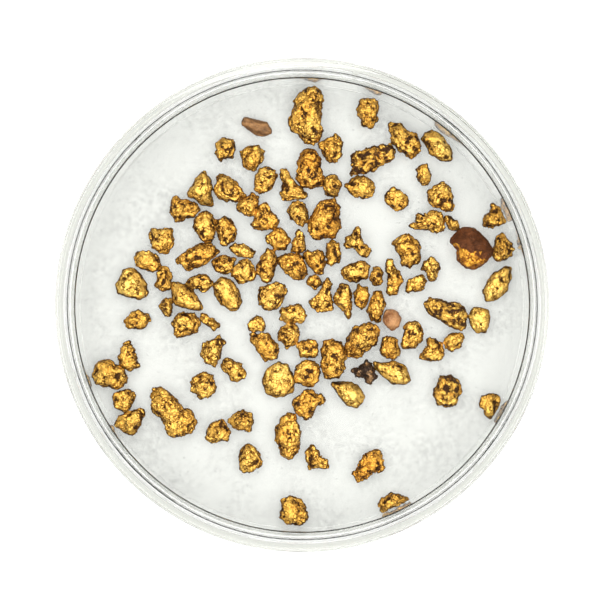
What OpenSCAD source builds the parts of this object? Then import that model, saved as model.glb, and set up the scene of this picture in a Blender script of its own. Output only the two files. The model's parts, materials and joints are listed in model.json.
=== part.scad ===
// Round vented sample dish with a lift-off lid, holding loose natural gold nuggets.
// The dish stands on the plane z = 0, with its axis on the z axis.

/* [Dish] */
// Inside radius of the dish wall
dish_inner_r = 43.2; // [43.1:0.1:43.4]
// Outside radius of the dish wall at its rim
dish_outer_r = 44.2; // [44.1:0.1:44.3]
// Height of the dish rim above the table
dish_h = 14; // [13:0.5:18]
// Thickness of the dish floor
floor_t = 1.1; // [0.9:0.1:1.2]
// Depth of the relief under the floor, inside the foot ring
foot_h = 0.4; // [0.2:0.1:0.5]

/* [Lid] */
// Outside radius of the lid
lid_outer_r = 47; // [46.6:0.1:48]
// Thickness of the lid skirt
lid_wall = 1.5; // [1:0.05:1.6]
// Thickness of the flat top of the lid
lid_top_t = 1; // [0.8:0.1:1.5]
// Depth of the lid skirt, from the top of the lid to its lower edge
skirt_h = 9; // [6:0.5:11]
// Inside radius of the raised ring that locates a dish stacked on top
stack_inner_r = 43.95; // [43.9:0.05:44.1]
// Height of the raised stacking ring
stack_h = 0.55; // [0.45:0.05:0.6]

/* [Vents] */
// Number of vent ribs that hold the lid off the dish rim
vent_count = 3; // [3:1:6]
// Height of each vent rib, which is the air gap over the rim
vent_h = 0.4; // [0.3:0.1:0.8]
// Width of each vent rib
vent_w = 1.4; // [1:0.1:3]
// Turn of the first vent rib from the x axis, in degrees
vent_turn = 16; // [0:1:119]
// Turn of the first centring rib from the x axis, in degrees
centring_turn = 77; // [0:1:119]

/* [Nuggets] */
// Gap between the dish floor and the underside of the nuggets
nugget_gap = 0.05; // [0.02:0.01:0.2]
// How far the nuggets' surfaces wander from an even dome, as a share of their size
ruggedness = 0.07; // [0:0.01:0.1]

/* [Hidden] */
// Roundness of the turned parts
round_fn = 180;
// Corner radius of most edges, of the inner edge of the dish rim, of the fillet where the floor
// meets the wall, of the lid's outer corner and of the stacking ring
edge_r = 0.3;
rim_inner_r = 0.42;
fillet_r = 0.15;
lid_edge_r = 0.6;
stack_r = 0.12;
corner_steps = 6;
// The wall leans out a little so that it leaves the mould, and the foot below it is bevelled so that
// it drops inside a stacking ring
wall_foot_r = dish_outer_r - 0.1;
foot_outer_r = dish_outer_r - 0.4;
foot_bevel_h = 1.2;
foot_ring_w = 0.65;
// Width of the stacking ring at its top and how far its outer flank leans out towards its foot, and
// how far the ribs reach in from the skirt
stack_w = 0.3;
stack_lean = 0.5;
vent_reach = 4;
centring_w = 1;
centring_reach = 0.7;
// Clearance under the vent ribs, and a small overlap that joins all ribs to the lid
seat_gap = 0.05;
bite = 0.1;
centring_count = 3;
// Levels of the lid: underside of its top, its top, and the lower edge of its skirt
lid_under_z = dish_h + seat_gap + vent_h;
lid_top_z = lid_under_z + lid_top_t;
skirt_z = lid_top_z - skirt_h;
lid_inner_r = lid_outer_r - lid_wall;

// Heights of the rings that make up a nugget, as shares of its height, and how wide each is
ring_levels = [0, 0.2, 0.46, 0.74, 0.93];
ring_widths = [0.72, 0.93, 1, 0.84, 0.5];
widest_ring = 2;

// Every loose piece: the node it belongs to, its height, its colour name and its outline in plan
PIECES = [
    ["tall_nugget", 4.5, "gold", [[4, 34], [3.5, 36], [3.5, 38], [4, 40], [3.5, 42], [2.5, 42.5], [1, 42.5],
        [0, 41.5], [-1.5, 40], [-1.5, 38], [-2.5, 36], [-2, 34], [-0.5, 33.5], [0.5, 32], [2, 31.5], [3.5, 32.5]]],
    ["waisted_nugget", 4.5, "gold", [[-20.5, -22.5], [-21.5, -24.5], [-24.5, -25.5], [-26, -24.5],
        [-26.5, -22.5], [-28, -21], [-29, -20], [-29, -17.5], [-28.5, -16], [-27, -16], [-25, -17.5],
        [-23, -20], [-21.5, -20.5]]],
    ["ironstone_nugget", 4.5, "brown", [[37, 10.5], [36, 12.5], [34.5, 14], [33, 15], [31.5, 15], [30, 14],
        [29, 12.5], [30.5, 11], [30.5, 9], [32, 7.5], [34, 7.5], [36, 9]]],
    ["banded_nugget", 3.5, "gold", [[32, -2], [31.5, -0.5], [30, 0.5], [28.5, 0.5], [27, 1], [25, 1.5],
        [24, 0.5], [24.5, -1], [25.5, -2], [27.5, -3], [29.5, -4], [31, -4.5], [31.5, -4]]],
    ["dark_bar_nugget", 3.5, "brown", [[18, 30.5], [17, 31.5], [15, 31], [13, 30.5], [11, 30], [9.5, 29],
        [10, 27.5], [9.5, 25.5], [11.5, 26], [13.5, 26], [15, 27], [16.5, 28], [18, 29]]],
    ["block_nugget", 4.5, "gold", [[7, 19.5], [7, 17.5], [7.5, 15.5], [6.5, 13.5], [4.5, 13.5], [2.5, 13],
        [1.5, 14.5], [1.5, 16], [2, 17.5], [2.5, 18.5], [3.5, 20], [4.5, 20.5], [6.5, 20.5]]],
    ["slanted_nugget", 4, "gold", [[15, -5.5], [14.5, -4], [13, -3.5], [11.5, -4], [10, -4.5], [9, -6.5],
        [8.5, -8], [9, -9.5], [11, -10], [12.5, -8.5], [14, -7.5]]],
    ["slab_nugget", 4, "gold", [[-19.5, -0.5], [-20, 1], [-21.5, 3], [-23, 4], [-25, 4.5], [-25, 2],
        [-24.5, 0.5], [-23, 0], [-21.5, -0.5]]],
    ["fold_nugget", 3.5, "gold", [[-20, -3], [-21, -1.5], [-23, -1.5], [-24.5, -2], [-25, -3.5], [-24.5, -5],
        [-24, -6], [-22, -5.5], [-20.5, -5]]],
    ["bar_nugget", 3.5, "gold", [[-16, 10.5], [-17.5, 12], [-19.5, 12], [-21.5, 11], [-24.5, 9], [-23, 8],
        [-22.5, 7], [-20.5, 7.5], [-18.5, 8.5], [-17.5, 9.5]]],
    ["bell_nugget", 3, "gold", [[-30, 2.5], [-30.5, 4], [-31.5, 6], [-32.5, 7], [-34.5, 7], [-35, 5.5],
        [-36, 4], [-35.5, 2.5], [-34, 2], [-31.5, 1.5], [-30.5, 2]]],
    ["shield_nugget", 3.5, "gold", [[-34, -14], [-34.5, -12.5], [-36, -11.5], [-37.5, -10.5], [-39.5, -11],
        [-40, -12.5], [-40.5, -13.5], [-40, -15], [-38, -15.5], [-36, -16], [-34.5, -15.5]]],
    ["coin_nugget", 2.5, "gold", [[-1.5, -15], [-2, -13], [-3, -11.5], [-4.5, -11], [-6, -12], [-7, -13],
        [-7.5, -15], [-6.5, -17], [-5, -17.5], [-3, -17], [-2, -16.5]]],
    ["loaf_nugget", 4, "gold", [[8.5, -9.5], [8, -8], [7.5, -7], [6, -6.5], [4.5, -7], [4, -8.5], [4, -10.5],
        [4, -12], [4.5, -13.5], [5.5, -14], [7, -14], [8, -12.5], [8, -11]]],
    ["spindle_nugget", 3.5, "gold", [[-0.5, -24.5], [-1, -22.5], [-1.5, -21], [-3, -21], [-4, -22], [-5, -24],
        [-5, -25.5], [-4.5, -27], [-3.5, -29], [-2.5, -29.5], [-1, -28.5], [-0.5, -26.5]]],
    ["antler_nugget", 3, "gold", [[4.5, -18.5], [4, -17.5], [2.5, -17.5], [2, -16.5], [0.5, -16.5],
        [0, -17.5], [-1.5, -18.5], [-1.5, -20], [0, -21.5], [1, -22], [2, -21], [3, -19.5]]],
    ["cone_nugget", 4, "gold", [[4, 25], [3.5, 27], [3.5, 28.5], [2.5, 30], [1.5, 30.5], [0, 30], [-0.5, 28],
        [-0.5, 26.5], [-1, 25], [0, 23.5], [2, 23], [4, 23.5]]],
    ["drop_nugget", 3.5, "gold", [[23, 31.5], [22, 33.5], [20.5, 33.5], [20, 34.5], [18.5, 35.5], [17, 35],
        [17.5, 33.5], [18, 32], [19, 30.5], [21, 29], [22.5, 29.5]]],
    ["sole_nugget", 3, "gold", [[29, 28.5], [29, 30], [28, 31.5], [27, 33], [25.5, 34], [24, 33.5],
        [23.5, 32.5], [24.5, 31], [25.5, 29.5], [27.5, 28.5]]],
    ["feather_nugget", 2.5, "gold", [[40.5, 7.5], [40.5, 5.5], [39.5, 3], [38, 1.5], [36, 1], [35.5, 3],
        [36.5, 5], [37.5, 6.5], [38.5, 6.5], [39.5, 7.5]]],
    ["coral_nugget", 3, "brown", [[16, -31], [15.5, -29.5], [15, -28], [14, -28], [12, -29], [11, -31],
        [10, -32.5], [11, -34], [12.5, -33.5], [14, -32], [15.5, -32]]],
    ["tooth_nugget", 3.5, "gold", [[1, -41.5], [1, -40], [0, -38], [-2, -37], [-3.5, -37.5], [-4, -39.5],
        [-4, -41], [-3, -42], [-0.5, -42.5]]],
    ["leaf_nugget", 2.5, "gold", [[21, -14.5], [20.5, -13], [19.5, -11.5], [17.5, -11], [15.5, -11.5],
        [14, -11], [14.5, -12], [16, -13.5], [18, -15], [20, -15]]],
    ["pear_nugget", 3, "gold", [[12, -17.5], [11, -16], [9.5, -15], [7.5, -15], [6, -15], [6.5, -16],
        [7.5, -17.5], [9, -19], [10.5, -19.5], [11.5, -18.5]]],
    ["clinker_nugget", 3.5, "gold", [[31, -16.5], [30.5, -15], [29, -13.5], [27.5, -13.5], [26.5, -15],
        [25.5, -17], [26.5, -19], [28, -19.5], [30, -19], [30.5, -17.5]]],
    ["lobed_nugget", 4, "gold", [[23, 10], [22.5, 12.5], [21.5, 13], [20.5, 14], [19, 13], [18, 12.5],
        [18.5, 11], [19.5, 9.5], [19.5, 8], [21, 7.5], [22.5, 8.5]]],
    ["mitt_nugget", 3.5, "gold", [[29.5, 19.5], [29, 21.5], [28.5, 23.5], [27.5, 24], [26, 23], [24.5, 22],
        [25, 20], [26, 19.5], [27.5, 19], [29, 18.5]]],
    ["branch_nugget", 2.5, "gold", [[27.5, 16.5], [27, 18], [25.5, 18.5], [24, 17.5], [22.5, 18],
        [22.5, 16.5], [21, 15.5], [23, 15], [25, 15], [26.5, 14.5], [27.5, 15]]],
    ["cloud_nugget", 2.5, "gold", [[41, 11], [41, 12], [39.5, 13], [39, 14], [38, 13.5], [37.5, 11.5],
        [37.5, 9.5], [38, 9], [39.5, 9], [40.5, 10]]],
    ["ridge_nugget", 3.5, "gold", [[0.5, 8], [0, 9.5], [-1.5, 10], [-3.5, 10], [-4.5, 9], [-4, 7.5],
        [-3, 6.5], [-1.5, 5.5], [0, 5], [1, 6.5]]],
    ["hilt_nugget", 3.5, "gold", [[-5, 9], [-5.5, 10.5], [-6.5, 11], [-7.5, 9.5], [-8.5, 8], [-8.5, 6.5],
        [-7, 4.5], [-6, 5], [-5.5, 6.5]]],
    ["crescent_nugget", 3, "gold", [[4.5, 8.5], [4, 10], [3.5, 11], [2, 10], [1, 10.5], [0.5, 10], [1, 8.5],
        [2, 7.5], [3, 6.5], [4, 6.5]]],
    ["bun_nugget", 3, "gold", [[3.5, -13], [3, -11.5], [1.5, -10.5], [0, -11], [-1, -12], [-1.5, -13.5],
        [-1, -15], [0.5, -15.5], [2, -15.5], [3, -14.5]]],
    ["twin_nugget", 3, "gold", [[15, 39], [14.5, 40], [13, 40.5], [11.5, 40], [11, 38], [11.5, 37],
        [12, 35], [13.5, 35], [14.5, 36], [14.5, 37.5]]],
    ["egg_nugget", 3, "gold", [[-12, 1], [-12.5, 3], [-14, 5], [-15.5, 5.5], [-17, 4], [-16.5, 2],
        [-15.5, 0.5], [-14, -0.5], [-12.5, -0.5]]],
    ["fin_nugget", 3.5, "gold", [[-11, 21.5], [-13, 24], [-14.5, 25], [-16, 25.5], [-16.5, 24], [-17, 22.5],
        [-16, 21], [-14.5, 20.5], [-12.5, 20.5]]],
    ["star_nugget", 3, "gold", [[-17.5, 23], [-18, 24.5], [-19, 26], [-20, 25], [-21, 23.5], [-22, 21.5],
        [-20.5, 21], [-19.5, 20], [-17.5, 19.5], [-18, 22]]],
    ["spire_nugget", 2.5, "gold", [[1, 21.5], [0, 22.5], [-1.5, 24], [-2.5, 25], [-3, 26.5], [-4, 26.5],
        [-3.5, 24], [-4, 22], [-3.5, 20.5], [-2, 21], [0, 21]]],
    ["sliver_stone", 1.8, "tan", [[-6, 34], [-7, 35.5], [-9, 36], [-11, 36.5], [-11.5, 35.5], [-10, 34.5],
        [-8.5, 33.5], [-7, 33.5]]],
    ["smooth_stone", 2.5, "tan", [[19, -2.5], [18.5, -1.5], [17.5, -1], [16.5, -1], [16, -2.5], [16.5, -3.5],
        [17.5, -4.5], [18.5, -4]]],
    ["dark_stone", 3, "brown", [[14.5, -14], [14, -12.5], [13.5, -11.5], [12.5, -10.5], [11, -12],
        [10, -12.5], [10.5, -13.5], [12, -14], [13.5, -15]]],
    ["heart_nugget", 2, "gold", [[36.5, -2], [36, -1], [35, -0.5], [33.5, -0.5], [32.5, -2], [33, -3.5],
        [34, -5], [35.5, -5], [36, -4]]],
    ["south_edge_nugget", 2.5, "gold", [[20.5, -37.5], [19.5, -37], [17.5, -36.5], [16, -37.5], [15, -38.5],
        [15.5, -39.8], [17, -39.2], [19, -38.3]]],
    ["east_edge_nugget", 2.5, "gold", [[38.5, -18.5], [38, -17.5], [36.5, -17], [35, -17.5], [34.5, -19],
        [35.5, -20], [36, -21.5], [36.8, -21.8], [37.5, -20.5]]],
    ["horn_nugget", 2.5, "gold", [[39.5, 16.5], [38.5, 18.5], [38, 19.5], [37, 20], [37, 18.5], [35.5, 17],
        [35.5, 15.5], [37, 15.5], [38.5, 16]]],
    ["north_west_nuggets", 3, "gold", [[-13, 31], [-13.5, 32], [-15, 32.5], [-16.5, 31.5], [-16.5, 30],
        [-16, 28.5], [-15, 29], [-13.5, 29]]],
    ["north_west_nuggets", 3, "gold", [[-7.5, 30], [-8.5, 31], [-10, 31], [-11.5, 30], [-11.5, 28.5],
        [-11, 27], [-9.5, 26.5], [-8, 28]]],
    ["north_west_nuggets", 3, "gold", [[-5, 25.5], [-5.5, 26.5], [-7, 27], [-8, 26.5], [-9, 24.5],
        [-9, 22.5], [-8, 22], [-6.5, 22.5], [-5.5, 23.5]]],
    ["upper_left_nuggets", 3, "gold", [[-20, 19], [-21, 20], [-23, 20.5], [-25, 21], [-25.5, 18.5],
        [-24.5, 16.5], [-23, 17], [-21, 17.5]]],
    ["upper_left_nuggets", 3.5, "gold", [[-17, 16], [-17.5, 17.5], [-19, 18.5], [-20.5, 17], [-21, 15.5],
        [-20, 14], [-19, 12.5], [-17.5, 12.5], [-17, 14]]],
    ["upper_left_nuggets", 3.5, "gold", [[-13, 15], [-14, 17], [-15, 17.5], [-16.5, 16.5], [-16.5, 15],
        [-16, 13.5], [-15.5, 12], [-14.5, 12], [-13, 13.5]]],
    ["upper_left_nuggets", 3, "gold", [[-8.5, 20.5], [-9.5, 22], [-10.5, 21], [-12, 20], [-12.5, 19],
        [-11, 18], [-10, 17.5], [-9, 18.5]]],
    ["upper_left_nuggets", 3, "gold", [[-4.5, 16.5], [-6, 18.5], [-7, 20], [-8.5, 19], [-9, 17],
        [-9.5, 15.5], [-8, 15], [-5.5, 15]]],
    ["left_nuggets", 3, "gold", [[-25, 12.5], [-25.5, 15], [-26.5, 15], [-27.5, 14.5], [-29, 15],
        [-29.5, 13.5], [-29, 11.5], [-27.5, 10.5], [-26, 10.5]]],
    ["left_nuggets", 2.5, "gold", [[-27.5, 8.5], [-28.5, 10], [-30.5, 10.5], [-32, 10.5], [-32.5, 9],
        [-31.5, 7.5], [-29.5, 7], [-28, 7]]],
    ["left_nuggets", 2.5, "gold", [[-25.5, 5.5], [-26, 7], [-27, 7.5], [-28, 6.5], [-28, 5], [-28.5, 4],
        [-27, 3], [-25.5, 3.5]]],
    ["left_nuggets", 2, "gold", [[-17.5, 4.5], [-18, 5.5], [-20, 6], [-22, 5], [-22.5, 4.5], [-21, 3.5],
        [-19, 3], [-18, 3.5]]],
    ["left_nuggets", 2.5, "gold", [[-25.5, -0.5], [-25.5, 1.5], [-26.5, 1.5], [-27.5, 0], [-26.5, -1.5],
        [-25.5, -2]]],
    ["left_nuggets", 1.8, "gold", [[-16, -4], [-17, -3], [-18.5, -2], [-19.5, -1.5], [-19.5, -2.5],
        [-18.5, -3.5], [-17, -4.5]]],
    ["left_nuggets", 2, "gold", [[-29.5, -2.5], [-30.5, -1.5], [-32, -1], [-33, -1.5], [-34.5, -3],
        [-33.5, -4], [-32, -4.5], [-30.5, -4]]],
    ["lower_left_nuggets", 2.5, "gold", [[-31.5, -11.5], [-32.5, -10.5], [-32.5, -8.5], [-33.5, -7],
        [-34.5, -7.5], [-35.5, -10], [-35, -11.5], [-33.5, -12.5]]],
    ["lower_left_nuggets", 2.5, "gold", [[-32.5, -17.5], [-33, -16.5], [-34.5, -16.5], [-36.5, -17],
        [-36.5, -18.5], [-36, -20], [-34.5, -20.5], [-33, -19.5]]],
    ["lower_left_nuggets", 3, "gold", [[-30.5, -21], [-31.5, -20], [-33, -20.5], [-34, -21], [-35.5, -21.5],
        [-36, -23], [-35, -24], [-33, -25], [-31.5, -23.5]]],
    ["lower_left_nuggets", 2.5, "gold", [[-17, -15], [-17.5, -13.5], [-19, -13], [-20.5, -13.5],
        [-21.5, -15], [-21, -16.5], [-19.5, -18], [-18, -17.5], [-17, -16.5]]],
    ["lower_left_nuggets", 3, "gold", [[-15, -7], [-16, -8], [-16, -10], [-17, -11.5], [-18.5, -11],
        [-19.5, -9.5], [-19, -7.5], [-17.5, -7], [-16, -6]]],
    ["lower_left_nuggets", 2.5, "gold", [[-11, -13], [-12, -11.5], [-13.5, -10.5], [-15, -10.5],
        [-15.5, -11.5], [-14.5, -13], [-13, -14.5], [-11.5, -14]]],
    ["south_nuggets", 2.5, "gold", [[-14, -24.5], [-15.5, -22], [-17.5, -23], [-18.5, -24.5],
        [-18.5, -25.5], [-17.5, -26.5], [-16, -26], [-14.5, -26]]],
    ["south_nuggets", 2.5, "gold", [[-9.5, -22.5], [-10, -21], [-11.5, -20.5], [-13, -21], [-14, -22.5],
        [-13, -23.5], [-11.5, -24], [-10, -24]]],
    ["south_nuggets", 2.5, "gold", [[-8, -30.5], [-8.5, -28.5], [-10, -27], [-11, -27], [-12, -28.5],
        [-12, -30.5], [-11.5, -32], [-10, -32], [-9, -31.5]]],
    ["south_nuggets", 2, "gold", [[5, -31], [5, -30], [3.5, -29.5], [3, -28], [2, -27], [1, -28], [1, -29.5],
        [1.5, -31.5], [3, -31], [4.5, -31.5]]],
    ["inner_left_nuggets", 2, "gold", [[-9, 10.5], [-10.5, 11.5], [-12, 12], [-14, 11.5], [-13.5, 10.5],
        [-12, 10], [-10, 9.5]]],
    ["inner_left_nuggets", 2.5, "gold", [[-13, 9], [-14.5, 9.5], [-16, 9.5], [-17.5, 8.5], [-17, 7],
        [-15.5, 6.5], [-14.5, 6.5], [-13.5, 7.5]]],
    ["inner_left_nuggets", 3, "gold", [[-9, 5.5], [-9.5, 7.5], [-10.5, 9], [-12, 8.5], [-13, 7.5],
        [-13.5, 6], [-12, 4.5], [-10.5, 5]]],
    ["inner_left_nuggets", 3, "gold", [[-3, 3], [-3.5, 4], [-5, 4.5], [-6, 4], [-8, 3.5], [-8.5, 2],
        [-8, 0.5], [-7, -0.5], [-5, -0.5], [-4, 1]]],
    ["inner_left_nuggets", 2.5, "gold", [[-7.5, -4.5], [-7.5, -2.5], [-8.5, -2], [-10, -3], [-10.5, -4.5],
        [-9, -5]]],
    ["inner_left_nuggets", 3, "gold", [[-10, -5.5], [-8.5, -5.5], [-6.5, -5.5], [-5.5, -7], [-4.5, -8.5],
        [-5, -10], [-7, -10.5], [-8, -9], [-9.5, -7]]],
    ["middle_nuggets", 3, "gold", [[-2.5, 13], [-3.5, 14.5], [-4.5, 15], [-5.5, 14.5], [-7, 13.5],
        [-6.5, 12.5], [-5.5, 11.5], [-4.5, 11], [-3, 11]]],
    ["middle_nuggets", 3, "gold", [[1, 18.5], [0, 20], [-1.5, 20], [-2.5, 18.5], [-2, 17], [-1, 16.5],
        [0, 15.5], [1, 17]]],
    ["middle_nuggets", 2.5, "gold", [[0.5, 12.5], [0, 14], [-0.5, 15], [-1, 13.5], [-1.5, 12], [-2, 11],
        [-0.5, 10.5], [0.5, 11]]],
    ["middle_nuggets", 2, "gold", [[3.5, 5], [2.5, 6], [1.5, 5.5], [1, 4.5], [2.5, 3.5], [3.5, 4]]],
    ["middle_nuggets", 2.5, "gold", [[7.5, 10], [7, 12], [6, 12.5], [5, 12], [5, 9.5], [5.5, 8], [7, 8.5]]],
    ["middle_nuggets", 2.5, "gold", [[5.5, 2.5], [5.5, 4.5], [5, 5.5], [4.5, 4.5], [3.5, 2.5], [2.5, 1.5],
        [1.5, 0.5], [2.5, -0.5], [4.5, -1], [6, -0.5]]],
    ["middle_nuggets", 3, "gold", [[0.5, -1], [0, 0], [-1.5, 0], [-3, -0.5], [-4, -1], [-4, -2.5], [-3, -3],
        [-1, -3], [0.5, -3]]],
    ["middle_nuggets", 3, "gold", [[-0.5, -5.5], [-1, -4], [-2.5, -3.5], [-4, -4.5], [-4.5, -6], [-3.5, -7],
        [-3, -8], [-1.5, -7.5]]],
    ["middle_nuggets", 2.5, "gold", [[3, -8], [2.5, -7], [1.5, -6.5], [0, -7], [-1, -8], [0, -9.5],
        [1.5, -10], [3, -9.5]]],
    ["centre_right_nuggets", 2.5, "gold", [[13.5, 10.5], [12, 12], [11.5, 13], [11, 15], [10.5, 15],
        [10, 13.5], [9, 13.5], [8.5, 12], [9, 11.5], [10.5, 11.5], [11.5, 10], [12.5, 9.5]]],
    ["centre_right_nuggets", 3.5, "gold", [[13, 7.5], [12.5, 8.5], [11, 8.5], [9.5, 8], [8, 7], [8, 6],
        [9, 5], [10.5, 5], [12.5, 5.5]]],
    ["centre_right_nuggets", 3.5, "gold", [[15.5, 6.5], [15, 7.5], [14, 7], [13.5, 5.5], [14, 4.5],
        [15, 4], [15.5, 5]]],
    ["centre_right_nuggets", 3, "gold", [[13, 2], [12.5, 3.5], [11, 4], [10.5, 2.5], [10.5, 0.5],
        [11.5, -0.5], [12.5, 0.5]]],
    ["centre_right_nuggets", 3.5, "gold", [[16, 0.5], [15.5, 2], [14.5, 3], [14, 2.5], [13.5, 1], [13, -1],
        [13.5, -2.5], [15, -3], [15.5, -1.5]]],
    ["centre_right_nuggets", 3, "gold", [[9.5, 2], [9, 4], [7.5, 4], [6.5, 2], [6.5, 0.5], [7.5, 0],
        [8.5, -1], [9, -2.5], [9.5, -1.5], [9.5, 0]]],
    ["centre_right_nuggets", 2.5, "gold", [[19.5, 5], [19, 6.5], [18, 7], [17.5, 9], [16.5, 9], [16.5, 7.5],
        [17, 6], [17, 4.5], [16.5, 2.5], [17, 2], [18.5, 2.5]]],
    ["centre_right_nuggets", 3, "gold", [[8, 32], [7.5, 31], [7.5, 29.5], [6.5, 28], [5.5, 28], [4.5, 29.5],
        [3.5, 31], [4, 32], [5.5, 32.5], [6.5, 33.5]]],
    ["upper_right_nuggets", 2.5, "gold", [[7.5, 24], [6.5, 25], [5.5, 25.5], [4.5, 24.5], [4.5, 23],
        [5, 21.5], [6.5, 21.5], [7.5, 23]]],
    ["upper_right_nuggets", 2.5, "gold", [[14, 23], [13.5, 24.5], [12, 25], [10.5, 25], [9.5, 24],
        [8.5, 23.5], [9, 22.5], [10.5, 21.5], [12, 21], [13.5, 21.5]]],
    ["upper_right_nuggets", 2, "gold", [[20.5, 20], [20, 21.5], [19, 22.5], [18, 23], [17, 22.5],
        [16, 21.5], [16.5, 20.5], [18, 19], [19.5, 19]]],
    ["upper_right_nuggets", 2.5, "gold", [[25, 25.5], [24.5, 27.5], [23.5, 27.5], [22.5, 26.5], [22.5, 25],
        [23.5, 24], [24.5, 24]]],
    ["upper_right_nuggets", 1.8, "brown", [[30.5, 15], [30, 16.5], [29, 17.5], [28, 17.5], [28.5, 16],
        [29, 15]]],
    ["right_nuggets", 2.5, "gold", [[27, 7.5], [26, 9], [25, 9.5], [24, 8.5], [23.5, 7.5], [24.5, 7],
        [25, 5], [26, 5], [26, 6.5]]],
    ["right_nuggets", 2, "gold", [[24, 4.5], [23.5, 6], [22, 5.5], [20.5, 4.5], [20.5, 3], [22, 3],
        [23.5, 3.5]]],
    ["right_nuggets", 3, "gold", [[23.5, -5], [23, -4], [22, -3], [20.5, -3.5], [20, -4.5], [20, -6],
        [19.5, -7.5], [20, -8], [22, -8], [23, -7]]],
    ["right_nuggets", 3, "gold", [[18.5, -7.5], [18.5, -6.5], [17, -6], [16, -6.5], [15.5, -8], [15.5, -9],
        [16.5, -10], [18, -10], [19, -9]]],
    ["right_nuggets", 3, "gold", [[27.5, -9.5], [27, -7.5], [26, -6.5], [24.5, -6.5], [24.5, -8], [23.5, -9],
        [23, -10], [24.5, -10.5], [26.5, -10.5]]],
    ["right_nuggets", 2.5, "gold", [[31.5, -6], [30.5, -5.5], [29, -5.5], [28, -6.5], [28, -8], [29, -8.5],
        [30.5, -8], [31, -7]]],
];

// Names of the nodes, in the order in which the dish is filled and closed
PIECE_NAMES = [for (i = [0:len(PIECES) - 1]) if (i == 0 || PIECES[i][0] != PIECES[i - 1][0]) PIECES[i][0]];

// A rounded corner in a profile: an arc about a centre, from one angle to another
function corner(centre, r, from, to) = [
    for (i = [0:corner_steps])
        let (turn = from + (to - from) * i / corner_steps)
        centre + r * [cos(turn), sin(turn)]
];

// The middle of an outline, and twice its area, which is positive when it runs anticlockwise
function middle(points) = [for (p = points) 1] * points / len(points);
function turning(points) = [for (p = points) 1]
    * [for (i = [0:len(points) - 1]) cross(points[i], points[(i + 1) % len(points)])];
function reversed(points) = [for (i = [len(points) - 1:-1:0]) points[i]];
function anticlockwise(points) = turning(points) > 0 ? points : reversed(points);

// The rings of a nugget, one above the other; the widest keeps the outline and the others wander a little
function nugget_rings(outline, height, wander) = [
    for (k = [0:len(ring_levels) - 1], j = [0:len(outline) - 1])
        let (
            spot = 2 * (k * len(outline) + j),
            width = ring_widths[k] * (1 + (k == widest_ring ? 0 : wander[spot])),
            rise = k == 0 ? 0 : wander[spot + 1],
            at = middle(outline) + width * (outline[j] - middle(outline))
        )
        [at.x, at.y, floor_t + nugget_gap + height * (ring_levels[k] + rise)]
];

// The two triangles between neighbouring points of two rings, all round
function ring_sides(count) = [
    for (k = [0:len(ring_levels) - 2], j = [0:count - 1])
        let (low = k * count + j, low_next = k * count + (j + 1) % count)
        each [
            [low, low + count, low_next],
            [low_next, low + count, low_next + count]
        ]
];

// One nugget: a rugged dome on a flat underside, closed by a point below and a point on top
module nugget(points, height, seed) {
    outline = anticlockwise(points);
    count = len(outline);
    rings = nugget_rings(outline, height, rands(-ruggedness, ruggedness, 2 * count * len(ring_levels), seed));
    under = len(rings);
    top = under + 1;
    last_ring = under - count;
    base_z = floor_t + nugget_gap;
    polyhedron(
        points = concat(rings, [[each middle(outline), base_z], [each middle(outline), base_z + height]]),
        faces = concat(
            ring_sides(count),
            [for (j = [0:count - 1]) [under, j, (j + 1) % count]],
            [for (j = [0:count - 1]) [top, last_ring + (j + 1) % count, last_ring + j]]
        )
    );
}

// Every piece that shares a node's name
module pieces_of(name) {
    for (i = [0:len(PIECES) - 1])
        if (PIECES[i][0] == name)
            color(piece_colour(PIECES[i][2])) nugget(PIECES[i][3], PIECES[i][1], i + 1);
}

function piece_colour(word) = word == "brown" ? "#6b3f1c" : word == "tan" ? "#b9824f" : "#cf962f";

// The dish: a flat floor on a foot ring, and a thin wall with a rounded rim
module dish() {
    color("#eef0ea", 0.4) rotate_extrude($fn = round_fn) polygon(concat(
        [[0, foot_h], [foot_outer_r - foot_ring_w, foot_h], [foot_outer_r - foot_ring_w, 0]],
        [[foot_outer_r, 0], [wall_foot_r, foot_bevel_h]],
        corner([dish_outer_r - edge_r, dish_h - edge_r], edge_r, 0, 90),
        corner([dish_inner_r + rim_inner_r, dish_h - rim_inner_r], rim_inner_r, 90, 180),
        corner([dish_inner_r - fillet_r, floor_t + fillet_r], fillet_r, 0, -90),
        [[0, floor_t]]
    ));
}

// A rib that stands in from the inside of the lid skirt, between two heights
module lid_rib(turn, reach, width, low, high) {
    rotate([0, 0, turn]) translate([lid_inner_r - reach, -width / 2, low])
        cube([reach + bite, width, high - low]);
}

// The lid: a flat top with a stacking ring, a skirt, vent ribs over the rim and ribs that centre it
module lid() {
    stack_outer_r = stack_inner_r + stack_w;
    flank_turn = atan(stack_lean / stack_h);
    flank_in = stack_r * tan((90 - flank_turn) / 2);
    color("#f4f5f1", 0.35) {
        rotate_extrude($fn = round_fn) polygon(concat(
            [[0, lid_under_z]],
            corner([lid_inner_r - edge_r, lid_under_z - edge_r], edge_r, 90, 0),
            [[lid_inner_r, skirt_z]],
            corner([lid_outer_r - edge_r, skirt_z + edge_r], edge_r, -90, 0),
            corner([lid_outer_r - lid_edge_r, lid_top_z - lid_edge_r], lid_edge_r, 0, 90),
            [[stack_outer_r + stack_lean, lid_top_z]],
            corner([stack_outer_r - flank_in, lid_top_z + stack_h - stack_r], stack_r,
                flank_turn, 90),
            corner([stack_inner_r + stack_r, lid_top_z + stack_h - stack_r], stack_r, 90, 180),
            [[stack_inner_r, lid_top_z], [0, lid_top_z]]
        ));
        for (i = [0:vent_count - 1])
            lid_rib(vent_turn + i * 360 / vent_count, vent_reach, vent_w,
                lid_under_z - vent_h, lid_under_z + bite);
        for (i = [0:centring_count - 1])
            lid_rib(centring_turn + i * 360 / centring_count, centring_reach, centring_w,
                skirt_z + lid_wall, lid_under_z + bite);
    }
}

dish();
lid();
for (name = PIECE_NAMES)
    pieces_of(name);
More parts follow.
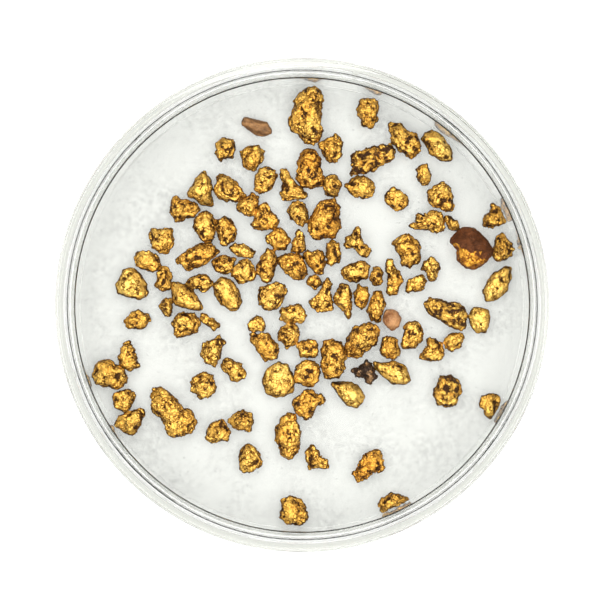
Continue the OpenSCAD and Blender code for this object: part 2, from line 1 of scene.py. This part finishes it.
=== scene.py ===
"""A round clear sample dish with its lid on, holding loose natural gold nuggets.

Lengths are in metres and angles in radians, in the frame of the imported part, with Z up.
"""
import math

import bpy
import json
import numpy as np
from mathutils import Matrix, Vector


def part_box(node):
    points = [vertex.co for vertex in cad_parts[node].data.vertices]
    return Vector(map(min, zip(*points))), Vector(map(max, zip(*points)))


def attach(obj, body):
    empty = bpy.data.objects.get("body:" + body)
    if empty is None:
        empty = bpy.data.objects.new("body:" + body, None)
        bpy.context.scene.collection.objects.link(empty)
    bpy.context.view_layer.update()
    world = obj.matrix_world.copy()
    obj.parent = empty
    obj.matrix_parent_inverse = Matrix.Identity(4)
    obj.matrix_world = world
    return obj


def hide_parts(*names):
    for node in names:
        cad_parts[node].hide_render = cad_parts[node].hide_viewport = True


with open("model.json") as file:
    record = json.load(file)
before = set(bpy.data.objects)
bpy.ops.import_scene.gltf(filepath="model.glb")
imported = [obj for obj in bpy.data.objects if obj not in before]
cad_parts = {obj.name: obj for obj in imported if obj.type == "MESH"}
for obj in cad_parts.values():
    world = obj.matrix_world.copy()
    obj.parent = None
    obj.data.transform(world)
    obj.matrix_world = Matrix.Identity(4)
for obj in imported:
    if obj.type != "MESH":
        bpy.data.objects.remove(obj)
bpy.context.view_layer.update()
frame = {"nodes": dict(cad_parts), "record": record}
MM = 0.001

# The camera: it looks down on the closed dish from just over half a metre up. It stands a little to
# the front and left of the axis, so the floor of the dish shows slightly off the centre of the rim.

lid_low, lid_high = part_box("lid")
view_span = 113.85 * MM
view_distance = 560 * MM
aim = Vector((-0.44 * MM, 0.82 * MM, lid_high.z))
camera_foot = Vector((-4.6 * MM, -13.8 * MM, lid_high.z))

lens = bpy.data.cameras.new("camera")
lens.sensor_width = 36
lens.lens = lens.sensor_width * view_distance / view_span
camera = bpy.data.objects.new("camera", lens)
bpy.context.scene.collection.objects.link(camera)
camera.location = camera_foot + Vector((0, 0, view_distance))
ahead = (aim - camera.location).normalized()
across = ahead.cross(Vector((0, 1, 0))).normalized()
camera.rotation_euler = Matrix((across, across.cross(ahead), -ahead)).transposed().to_euler()
bpy.context.scene.camera = camera

# The dish: injection-moulded clear polystyrene, a flat floor about a millimetre thick on a low foot
# ring, and a thin wall that widens a little towards its polished rim. It is one moulding.

dish_low, dish_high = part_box("dish")
dish_wall = 1.0 * MM
dish_lean = 0.1 * MM
dish_rim_radius = dish_high.x
dish_inner_radius = dish_rim_radius - dish_wall
dish_floor = dish_low.z + 1.1 * MM
foot_outer_radius = dish_rim_radius - 0.4 * MM
foot_inner_radius = foot_outer_radius - 0.65 * MM
foot_top = dish_low.z + 0.4 * MM
foot_bevel_top = dish_low.z + 1.2 * MM
foot_round = 0.1 * MM
edge_round = 0.3 * MM
rim_round = 0.48 * MM
fillet_round = 0.15 * MM
turned_steps = 384
corner_steps = 6


def set_mode(mode):
    if bpy.context.object and bpy.context.object.mode != mode:
        bpy.ops.object.mode_set(mode=mode)


def choose(piece):
    """Makes one piece the active and only selected one, in object mode."""
    set_mode("OBJECT")
    bpy.ops.object.select_all(action="DESELECT")
    bpy.context.view_layer.objects.active = piece
    piece.select_set(True)


def finish_modifiers(piece):
    """Applies the piece's modifiers in turn."""
    choose(piece)
    for modifier in list(piece.modifiers):
        bpy.ops.object.modifier_apply(modifier=modifier.name)


def tidy_mesh(piece):
    """Merges points that coincide and turns the faces outwards."""
    choose(piece)
    set_mode("EDIT")
    bpy.ops.mesh.select_all(action="SELECT")
    bpy.ops.mesh.remove_doubles(threshold=0.001 * MM)
    bpy.ops.mesh.normals_make_consistent(inside=False)
    set_mode("OBJECT")


def turned(name, corners):
    """A moulded piece spun from its half section: corners of radius, height and rounding."""
    points = []
    for place, (radius, height, rounding) in enumerate(corners):
        here = Vector((radius, height))
        if not rounding:
            points.append(here)
            continue
        back = (Vector(corners[place - 1][:2]) - here).normalized()
        ahead = (Vector(corners[(place + 1) % len(corners)][:2]) - here).normalized()
        half = back.angle(ahead) / 2
        middle = here + (back + ahead).normalized() * rounding / math.sin(half)
        start = (here + back * rounding / math.tan(half) - middle).normalized()
        end = (here + ahead * rounding / math.tan(half) - middle).normalized()
        for step in range(corner_steps + 1):
            points.append(middle + start.slerp(end, step / corner_steps) * rounding)
    mesh = bpy.data.meshes.new(name)
    loose = [(index, index + 1) for index in range(len(points) - 1)]
    mesh.from_pydata([(radius, 0, height) for radius, height in points], loose, [])
    piece = bpy.data.objects.new(name, mesh)
    bpy.context.scene.collection.objects.link(piece)
    choose(piece)
    set_mode("EDIT")
    bpy.ops.mesh.select_all(action="SELECT")
    bpy.ops.mesh.spin(steps=turned_steps, angle=math.tau, center=(0, 0, 0), axis=(0, 0, 1))
    tidy_mesh(piece)
    return piece


def shade_moulding(piece):
    """Shades round faces smooth, and keeps flat faces flat up to their rounded edges."""
    choose(piece)
    bpy.ops.object.shade_smooth_by_angle(angle=math.radians(35))
    weigh = piece.modifiers.new("flats", "WEIGHTED_NORMAL")
    weigh.weight = 100
    weigh.keep_sharp = True
    finish_modifiers(piece)


dish = turned(
    "clear_dish",
    [
        (0, foot_top, 0),
        (foot_inner_radius, foot_top, foot_round),
        (foot_inner_radius, dish_low.z, foot_round),
        (foot_outer_radius, dish_low.z, foot_round),
        (dish_rim_radius - dish_lean, foot_bevel_top, edge_round),
        (dish_rim_radius, dish_high.z, edge_round),
        (dish_inner_radius, dish_high.z, rim_round),
        (dish_inner_radius, dish_floor, fillet_round),
        (0, dish_floor, 0),
    ],
)
shade_moulding(dish)


class Wire:
    """A socket in a material's node tree. Arithmetic on it adds Math nodes."""

    def __init__(self, tree, socket=None):
        self.tree = tree
        self.socket = socket

    def node(self, kind, settings=None, inputs=None, output=0):
        """Adds a node: its settings first, then the values or wires of its sockets."""
        node = self.tree.nodes.new(kind)
        for key, value in (settings or {}).items():
            setattr(node, key, value)
        for key, value in (inputs or {}).items():
            if isinstance(value, Wire):
                self.tree.links.new(value.socket, node.inputs[key])
            else:
                node.inputs[key].default_value = value
        return Wire(self.tree, node.outputs[output])

    def maths(self, operation, first, second):
        return self.node("ShaderNodeMath", {"operation": operation}, {0: first, 1: second})

    def __add__(self, other):
        return self.maths("ADD", self, other)

    __radd__ = __add__

    def __sub__(self, other):
        return self.maths("SUBTRACT", self, other)

    def __rsub__(self, other):
        return self.maths("SUBTRACT", other, self)

    def __mul__(self, other):
        return self.maths("MULTIPLY", self, other)

    __rmul__ = __mul__

    def __abs__(self):
        return self.maths("ABSOLUTE", self, 0.0)

    def or_more(self, other):
        """The larger of this and another."""
        return self.maths("MAXIMUM", self, other)

    def above(self, low, high):
        """0 at low and less, 1 at high and more, and even between them."""
        limits = {"Value": self, "From Min": low, "From Max": high}
        return self.node("ShaderNodeMapRange", {"clamp": True}, limits)

    def blend(self, first, second):
        """A colour between two, by this value as the share of the second."""
        inputs = {0: self, 6: first, 7: second}
        return self.node("ShaderNodeMix", {"data_type": "RGBA"}, inputs, output=2)

    def noise(self, scale, detail, output=0):
        """A cloudy pattern over this place, with so many puffs to a metre."""
        inputs = {"Vector": self, "Scale": scale, "Detail": detail}
        return self.node("ShaderNodeTexNoise", None, inputs, output)

    def bump(self, strength, distance):
        """A normal that follows this as a height."""
        inputs = {"Height": self, "Strength": strength, "Distance": distance}
        return self.node("ShaderNodeBump", None, inputs)


def new_material(name):
    """An empty material, with a wire to build from and its output node."""
    material = bpy.data.materials.new(name)
    material.use_nodes = True
    tree = material.node_tree
    tree.nodes.clear()
    return material, Wire(tree), tree.nodes.new("ShaderNodeOutputMaterial")


def clear_polystyrene(name, tint, haze, depth):
    """Clear moulded plastic, scuffed and dusty. Lamps shine through it as through a thin sheet."""
    material, start, output = new_material(name)
    place = start.node("ShaderNodeTexCoord", output=3)
    smear = place.noise(90.0, 4.0)
    scuffs = place.noise(900.0, 3.0)
    dust = place.noise(1500.0, 1.0)
    worn = smear.above(0.42, 0.7) * scuffs.above(0.4, 0.75)
    worn = worn.or_more(dust.above(0.735, 0.76))
    clean_and_unshaded = (*tint, 1)
    dull = (*(part * (1 - haze) for part in tint), 1)
    plastic = start.node(
        "ShaderNodeBsdfPrincipled",
        None,
        {
            "Base Color": worn.blend(clean_and_unshaded, dull),
            "Roughness": worn * 0.08,
            "IOR": 1.59,
            "Transmission Weight": 1.0,
        },
    )
    facing = start.node("ShaderNodeNewGeometry", output=1)
    upward = start.node("ShaderNodeSeparateXYZ", None, {0: facing}, output=2)
    level = abs(upward).above(0.2, 0.8)
    flat = start.node("ShaderNodeBsdfTransparent", None, {"Color": (0.972, 0.974, 0.968, 1)})
    wall = start.node("ShaderNodeBsdfTransparent", None, {"Color": (0.68, 0.685, 0.68, 1)})
    sheet = start.node("ShaderNodeMixShader", None, {0: level, 1: wall, 2: flat})
    is_lamp_ray = start.node("ShaderNodeLightPath", output=1)
    is_bounced_ray = start.node("ShaderNodeLightPath", output=2)
    either = is_lamp_ray.or_more(is_bounced_ray)
    surface = start.node("ShaderNodeMixShader", None, {0: either, 1: plastic, 2: sheet})
    material.node_tree.links.new(surface.socket, output.inputs["Surface"])
    body = start.node(
        "ShaderNodeVolumeAbsorption", None, {"Color": (0.32, 0.34, 0.2, 1), "Density": depth}
    )
    material.node_tree.links.new(body.socket, output.inputs["Volume"])
    return material


dish.data.materials.append(clear_polystyrene("dish_polystyrene", (0.985, 0.99, 0.975), 0.3, 9.0))
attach(dish, "dish")
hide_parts("dish")

# The lid: the same clear polystyrene in one moulding. Its flat top has a low ring that locates the
# next dish, its skirt comes down outside the dish, and three ribs on its underside sit on the rim.

lid_wall = 1.5 * MM
lid_radius = lid_high.x
lid_inner_radius = lid_radius - lid_wall
stack_height = 0.55 * MM
lid_top = lid_high.z - stack_height
lid_under = lid_top - 1.0 * MM
lid_edge_round = 0.6 * MM
skirt_round = 0.1 * MM
stack_inner_radius = foot_outer_radius + 0.15 * MM
stack_outer_radius = stack_inner_radius + 0.3 * MM
stack_foot_radius = stack_outer_radius + 0.5 * MM
stack_round = 0.12 * MM
vent_height = 0.4 * MM
vent_width = 1.4 * MM
vent_reach = 4 * MM
vent_turn = math.radians(16)
centring_width = 1.0 * MM
centring_reach = 0.7 * MM
centring_turn = math.radians(77)
centring_low = lid_low.z + 1.05 * MM

lid = turned(
    "clear_lid",
    [
        (0, lid_under, 0),
        (lid_inner_radius, lid_under, edge_round),
        (lid_inner_radius, lid_low.z, skirt_round),
        (lid_radius, lid_low.z, edge_round),
        (lid_radius, lid_top, lid_edge_round),
        (stack_foot_radius, lid_top, 0),
        (stack_outer_radius, lid_high.z, stack_round),
        (stack_inner_radius, lid_high.z, stack_round),
        (stack_inner_radius, lid_top, 0),
        (0, lid_top, 0),
    ],
)


def add_rib(turn, reach, width, low):
    """Joins one straight rib to the inside of the lid's skirt and the underside of its top."""
    bite = 0.2 * MM
    high = lid_under + bite
    bpy.ops.object.select_all(action="DESELECT")
    bpy.ops.mesh.primitive_cube_add(size=1)
    rib = bpy.context.object
    rib.scale = (reach + bite, width, high - low)
    bpy.ops.object.transform_apply(location=False, rotation=False, scale=True)
    rib.rotation_euler.z = turn
    out = lid_inner_radius + (bite - reach) / 2
    rib.location = (out * math.cos(turn), out * math.sin(turn), (low + high) / 2)
    bpy.ops.object.transform_apply(location=True, rotation=True, scale=False)
    join = lid.modifiers.new("rib", "BOOLEAN")
    join.operation = "UNION"
    join.object = rib
    finish_modifiers(lid)
    bpy.data.objects.remove(rib)


for number in range(3):
    third = number * math.tau / 3
    add_rib(vent_turn + third, vent_reach, vent_width, lid_under - vent_height)
    add_rib(centring_turn + third, centring_reach, centring_width, centring_low)
shade_moulding(lid)
lid.data.materials.append(clear_polystyrene("lid_polystyrene", (0.985, 0.99, 0.978), 0.12, 42.0))
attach(lid, "lid")
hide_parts("lid")

# The nuggets: natural gold, each crumpled, pitted and rubbed in its own way, with brown iron stain
# left in its hollows, and painted shade darkening its hollows, steep sides and outline. They lie
# loose on the floor of the dish.

lobes = bpy.data.textures.new("nugget_lobes", "VORONOI")
lobes.noise_scale = 1.7 * MM
lumps = bpy.data.textures.new("nugget_lumps", "CLOUDS")
lumps.noise_scale = 1.0 * MM
lumps.noise_depth = 2
creases = bpy.data.textures.new("nugget_creases", "VORONOI")
creases.noise_scale = 0.9 * MM
creases.weight_1 = -1
creases.weight_2 = 1
grain = bpy.data.textures.new("nugget_grain", "CLOUDS")
grain.noise_scale = 0.3 * MM
grain.noise_depth = 2
nugget_detail = 0.1 * MM
rub_down_passes = 12


def roughen(piece, texture, depth, level=0.5):
    """Pushes the surface in and out along its normals by a texture."""
    push = piece.modifiers.new(texture.name, "DISPLACE")
    push.texture = texture
    push.texture_coords = "LOCAL"
    push.strength = depth
    push.mid_level = level


def read_points(piece):
    flat = np.empty(len(piece.data.vertices) * 3, np.float32)
    piece.data.vertices.foreach_get("co", flat)
    return flat.reshape(-1, 3)


def read_normals(piece):
    flat = np.empty(len(piece.data.vertices) * 3, np.float32)
    piece.data.vertex_normals.foreach_get("vector", flat)
    return flat.reshape(-1, 3)


def depth_inside(points, cell=0.12 * MM, most=5):
    """How far each point lies inside the outline of them all seen from above, from 0 to 1."""
    column = ((points[:, :2] - points[:, :2].min(0)) / cell).astype(int) + 4
    filled = np.zeros(column.max(0) + 5, bool)
    filled[column[:, 0], column[:, 1]] = True

    def spread(grid, grow):
        changed = grid.copy()
        for axis in (0, 1):
            for step in (-1, 1):
                beside = np.roll(grid, step, axis)
                changed = changed | beside if grow else changed & beside
        return changed

    filled = spread(spread(filled, True), False)
    depth = np.zeros(filled.shape, np.float32)
    for _ in range(most):
        filled = spread(filled, False)
        depth += filled
    return depth[column[:, 0], column[:, 1]] / most


def crumple(node, swell=0.45 * MM, lobe=0.6 * MM, lump=0.6 * MM, crease=0.4 * MM, pit=0.24 * MM):
    """A rugged nugget grown from a copy of its plain one. Attributes note its hollows and sides, for
    its stain and painted shade.
    """
    piece = bpy.data.objects.new(node + "_surface", frame["nodes"][node].data.copy())
    bpy.context.scene.collection.objects.link(piece)
    tidy_mesh(piece)
    piece.data.materials.clear()
    fine = piece.modifiers.new("fine", "REMESH")
    fine.mode = "VOXEL"
    fine.voxel_size = nugget_detail
    worn = piece.modifiers.new("worn", "SMOOTH")
    worn.factor = 0.5
    worn.iterations = rub_down_passes
    swollen = piece.modifiers.new("swell", "DISPLACE")
    swollen.strength = swell
    swollen.mid_level = 0
    finish_modifiers(piece)
    bpy.ops.object.shade_smooth()
    before = read_points(piece)
    normals = read_normals(piece)
    roughen(piece, lobes, -lobe, 0.45)
    roughen(piece, lumps, lump)
    roughen(piece, creases, crease, 0.45)
    roughen(piece, grain, pit)
    finish_modifiers(piece)
    after = read_points(piece)
    rise = ((after - before) * normals).sum(1)
    lowest, highest = np.percentile(rise, (3, 97))
    rise = np.clip((rise - lowest) / max(highest - lowest, 0.01 * MM), 0, 1)
    noted = piece.data.attributes.new("height", "FLOAT", "POINT")
    noted.data.foreach_set("value", rise.astype(np.float32))
    noted = piece.data.attributes.new("inside", "FLOAT", "POINT")
    noted.data.foreach_set("value", depth_inside(after))
    after[:, 2] = np.maximum(after[:, 2], dish_floor + 0.02 * MM)
    out = np.maximum(np.hypot(after[:, 0], after[:, 1]), MM)
    after[:, :2] *= np.minimum(1, (dish_inner_radius - 0.05 * MM) / out)[:, None]
    piece.data.vertices.foreach_set("co", after.ravel())
    piece.data.update()
    return piece


def natural_gold(name, bright, deep, stain, grime, sweep=None):
    """Gold with brown stain in its cracks, in patches and, if swept, over one side of a nugget, and
    painted shade that darkens and browns its hollows, steep sides and outline.
    """
    material, start, output = new_material(name)
    place = start.node("ShaderNodeTexCoord", output=3)
    height = start.node("ShaderNodeAttribute", {"attribute_name": "height"}, output=2)
    inside = start.node("ShaderNodeAttribute", {"attribute_name": "inside"}, output=2)
    facing = start.node("ShaderNodeNewGeometry", output=1)
    upward = start.node("ShaderNodeSeparateXYZ", None, {0: facing}, output=2)
    tone = place.noise(170.0, 2.0)
    patch = place.noise(700.0, 6.0)
    speck = place.noise(3000.0, 5.0)
    drift = place.noise(1600.0, 2.0, output=1)
    bent = start.node("ShaderNodeVectorMath", {"operation": "SCALE"}, {0: drift, 3: 0.5 * MM})
    bent = start.node("ShaderNodeVectorMath", None, {0: bent, 1: place})
    cell = start.node(
        "ShaderNodeTexVoronoi", {"feature": "DISTANCE_TO_EDGE"}, {"Vector": bent, "Scale": 1500.0}
    )
    crack = 1 - cell.above(0.03, 0.22)
    # Painted shade: the steep sides and the outline seen from above are darkened, as light reaches
    # them less, and the tops are left light.
    painted_top_light = upward.above(0.12, 0.78) * (inside.above(0.0, 0.8) * 0.76 + 0.24)
    # The hollows are darkened partly as iron stain and partly as painted shade. The cracks are
    # darkened as stain.
    clean_and_unshaded = height.above(-0.02, 0.4) * (1 - crack * patch.above(0.3, 0.55) * 0.9)
    # shade mixes painted shade on the sides, outline and hollows with the stained cracks and the
    # specks.
    shade = painted_top_light * clean_and_unshaded * (speck * 1.2 + 0.42)
    warm = (bright[0] * 0.92, bright[1] * 0.78, bright[2] * 0.6)
    rich = tone.above(0.35, 0.65).blend((*bright, 1), (*warm, 1))
    # Where shade is low, the gold is painted deep, so this colour carries painted shade as well as
    # stain.
    colour = shade.above(0.15, 0.65).blend((*deep, 1), rich)
    cover = patch
    if sweep:
        centre, direction, offset = sweep
        apart = start.node("ShaderNodeVectorMath", {"operation": "SUBTRACT"}, {0: place, 1: centre})
        settings = {"operation": "DOT_PRODUCT"}
        along = start.node("ShaderNodeVectorMath", settings, {0: apart, 1: direction}, output=1)
        cover = patch + (along - offset) * (0.25 / MM)
    dirt = cover.above(0.97 - grime, 1.03 - grime)
    metal = shade.above(0.05, 0.3) * (1 - dirt)
    pale_stain = tuple(part * 2.4 for part in stain)
    rust = (patch * 0.5 + speck * 0.5).above(0.42, 0.62).blend((*stain, 1), (*pale_stain, 1))
    # The darkest painted shade is coloured as brown stain, along with the real stain patches.
    colour = dirt.or_more(1 - shade.above(0.02, 0.25)).blend(colour, rust)
    relief = (cell.above(0.0, 0.25) * 0.6 + speck * 0.6).bump(0.7, 0.06 * MM)
    gold = start.node(
        "ShaderNodeBsdfPrincipled",
        None,
        {
            "Base Color": colour,
            "Metallic": metal * 0.7,
            "Roughness": 0.6 - metal * 0.18,
            "Specular IOR Level": 0.12,
            "Normal": relief,
        },
    )
    material.node_tree.links.new(gold.socket, output.inputs["Surface"])
    return material


dull_brown = (0.022, 0.008, 0.0015)
gold = natural_gold("natural_gold", (0.86, 0.53, 0.115), (0.33, 0.135, 0.016), dull_brown, 0.36)
worn_gold = natural_gold("worn_gold", (0.90, 0.60, 0.15), (0.42, 0.20, 0.03), dull_brown, 0.32)
red_gold = natural_gold("red_gold", (0.82, 0.46, 0.085), (0.30, 0.11, 0.013), dull_brown, 0.39)
dark_gold = natural_gold(
    "dark_gold", (0.80, 0.50, 0.11), (0.28, 0.11, 0.015), (0.03, 0.012, 0.004), 0.46
)
dark_rock = natural_gold(
    "dark_rock", (0.36, 0.23, 0.13), (0.10, 0.05, 0.025), (0.02, 0.011, 0.007), 0.50
)
iron_low, iron_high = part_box("ironstone_nugget")
iron_sweep = ((iron_low + iron_high) / 2, Vector((0.32, 0.95, 0)), -0.9 * MM)
iron_gold = natural_gold(
    "iron_gold", (0.72, 0.36, 0.05), (0.30, 0.09, 0.01), (0.07, 0.022, 0.007), 0.50, iron_sweep
)
rubbed = {"lobe": 0.35 * MM, "lump": 0.4 * MM, "crease": 0.16 * MM, "pit": 0.12 * MM}
pocked = {"lobe": 0.8 * MM, "lump": 0.5 * MM, "crease": 0.65 * MM, "pit": 0.36 * MM}
smooth = {"lobe": 0.1 * MM, "lump": 0.35 * MM, "crease": 0.06 * MM, "pit": 0.05 * MM}
special = {
    "ironstone_nugget": (iron_gold, rubbed),
    "dark_bar_nugget": (dark_gold, pocked),
    "banded_nugget": (dark_gold, {}),
    "coral_nugget": (red_gold, pocked),
    "block_nugget": (red_gold, {}),
    "cone_nugget": (red_gold, {}),
    "dark_stone": (dark_rock, pocked),
    "clinker_nugget": (dark_gold, pocked),
}
for node in ("coin", "heart", "leaf", "egg", "sole", "feather", "bell", "slab", "star", "pear"):
    special[node + "_nugget"] = (worn_gold, rubbed)
iron_bearing = ("ironstone_nugget", "dark_bar_nugget", "coral_nugget", "dark_stone")
stones = ("sliver_stone", "smooth_stone")
for node in frame["record"]["behaviour"]["bodies"]["nuggets"]:
    if node in stones:
        continue
    material, relief = special.get(node, (gold, {}))
    nugget = crumple(node, **relief)
    nugget.data.materials.append(material)
    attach(nugget, "nuggets")
    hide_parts(node)
    "ironstone_gold" if node in iron_bearing else "natural_gold"

# The two tan stones: water-worn quartz pebbles among the gold, smooth all over, with faint banding
# and darker grain, and painted shade on their steep sides. One is a long sliver and the other is
# nearly round.


def pebble(name, light, dark, along, streak):
    """A dull worn stone, banded across one direction, with painted shade on its steep sides."""
    material, start, output = new_material(name)
    place = start.node("ShaderNodeTexCoord", output=3)
    turned_place = start.node(
        "ShaderNodeMapping", None, {"Vector": place, "Rotation": (0, 0, -along)}
    )
    drawn = start.node("ShaderNodeMapping", None, {"Vector": turned_place, "Scale": (1, streak, 1)})
    band = drawn.noise(420.0, 4.0)
    speck = place.noise(3500.0, 3.0)
    facing = start.node("ShaderNodeNewGeometry", output=1)
    upward = start.node("ShaderNodeSeparateXYZ", None, {0: facing}, output=2)
    # Painted shade: the steep sides of the stone are darkened over its bands and grain, as light
    # reaches them less.
    level = (band * 0.7 + speck * 0.3).above(0.35, 0.62) * upward.above(0.05, 0.65)
    colour = level.blend((*dark, 1), (*light, 1))
    grit = speck.bump(0.3, 0.04 * MM)
    stone = start.node(
        "ShaderNodeBsdfPrincipled",
        None,
        {"Base Color": colour, "Roughness": 0.55, "Specular IOR Level": 0.3, "Normal": grit},
    )
    material.node_tree.links.new(stone.socket, output.inputs["Surface"])
    return material


stone_looks = (
    pebble("brown_stone", (0.46, 0.23, 0.09), (0.085, 0.033, 0.011), math.radians(-14), 5.0),
    pebble("pink_stone", (0.70, 0.36, 0.16), (0.24, 0.09, 0.03), math.radians(50), 1.5),
)
for node, look in zip(stones, stone_looks):
    stone = crumple(node, **smooth)
    stone.data.materials.append(look)
    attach(stone, "nuggets")
    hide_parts(node)

# The set: a plain white light table, and four large soft lamps high round the dish, each with a
# weaker one low down beside it that brightens the edges of the clear plastic.

bpy.ops.object.select_all(action="DESELECT")
bpy.ops.mesh.primitive_plane_add(size=2.4, location=(0, 0, dish_low.z - 0.02 * MM))
floor = bpy.context.object
floor.name = "floor"
light_table, start, output = new_material("light_table")
glow = start.node(
    "ShaderNodeBsdfPrincipled",
    None,
    {
        "Base Color": (0.6, 0.6, 0.6, 1),
        "Roughness": 1.0,
        "Specular IOR Level": 0.0,
        "Emission Color": (1, 1, 1, 1),
        "Emission Strength": 0.47,
    },
)
light_table.node_tree.links.new(glow.socket, output.inputs["Surface"])
floor.data.materials.append(light_table)

world = bpy.data.worlds.new("room")
bpy.context.scene.world = world
world.use_nodes = True
world.node_tree.nodes["Background"].inputs["Color"].default_value = (0.02, 0.02, 0.02, 1)


def soft_lamp(name, azimuth, elevation, distance, size, power):
    """A square soft lamp that faces the dish."""
    light = bpy.data.lights.new(name, "AREA")
    light.energy = power
    light.size = size
    lamp = bpy.data.objects.new(name, light)
    bpy.context.scene.collection.objects.link(lamp)
    towards = Vector(
        (
            math.cos(azimuth) * math.cos(elevation),
            math.sin(azimuth) * math.cos(elevation),
            math.sin(elevation),
        )
    )
    lamp.location = towards * distance
    lamp.rotation_euler = (-towards).to_track_quat("-Z", "Y").to_euler()


for number, azimuth in enumerate((0, 97, 182, 275)):
    high_turn = math.radians(azimuth)
    low_turn = math.radians(azimuth - 4)
    soft_lamp(f"high_lamp_{number}", high_turn, math.radians(64), distance=0.9, size=0.55, power=3.6)
    soft_lamp(f"low_lamp_{number}", low_turn, math.radians(24), distance=1.1, size=0.5, power=1.5)

bpy.context.scene.view_settings.view_transform = "Standard"
bpy.context.scene.cycles.max_bounces = 24
bpy.context.scene.cycles.transmission_bounces = 20
bpy.context.scene.cycles.transparent_max_bounces = 24
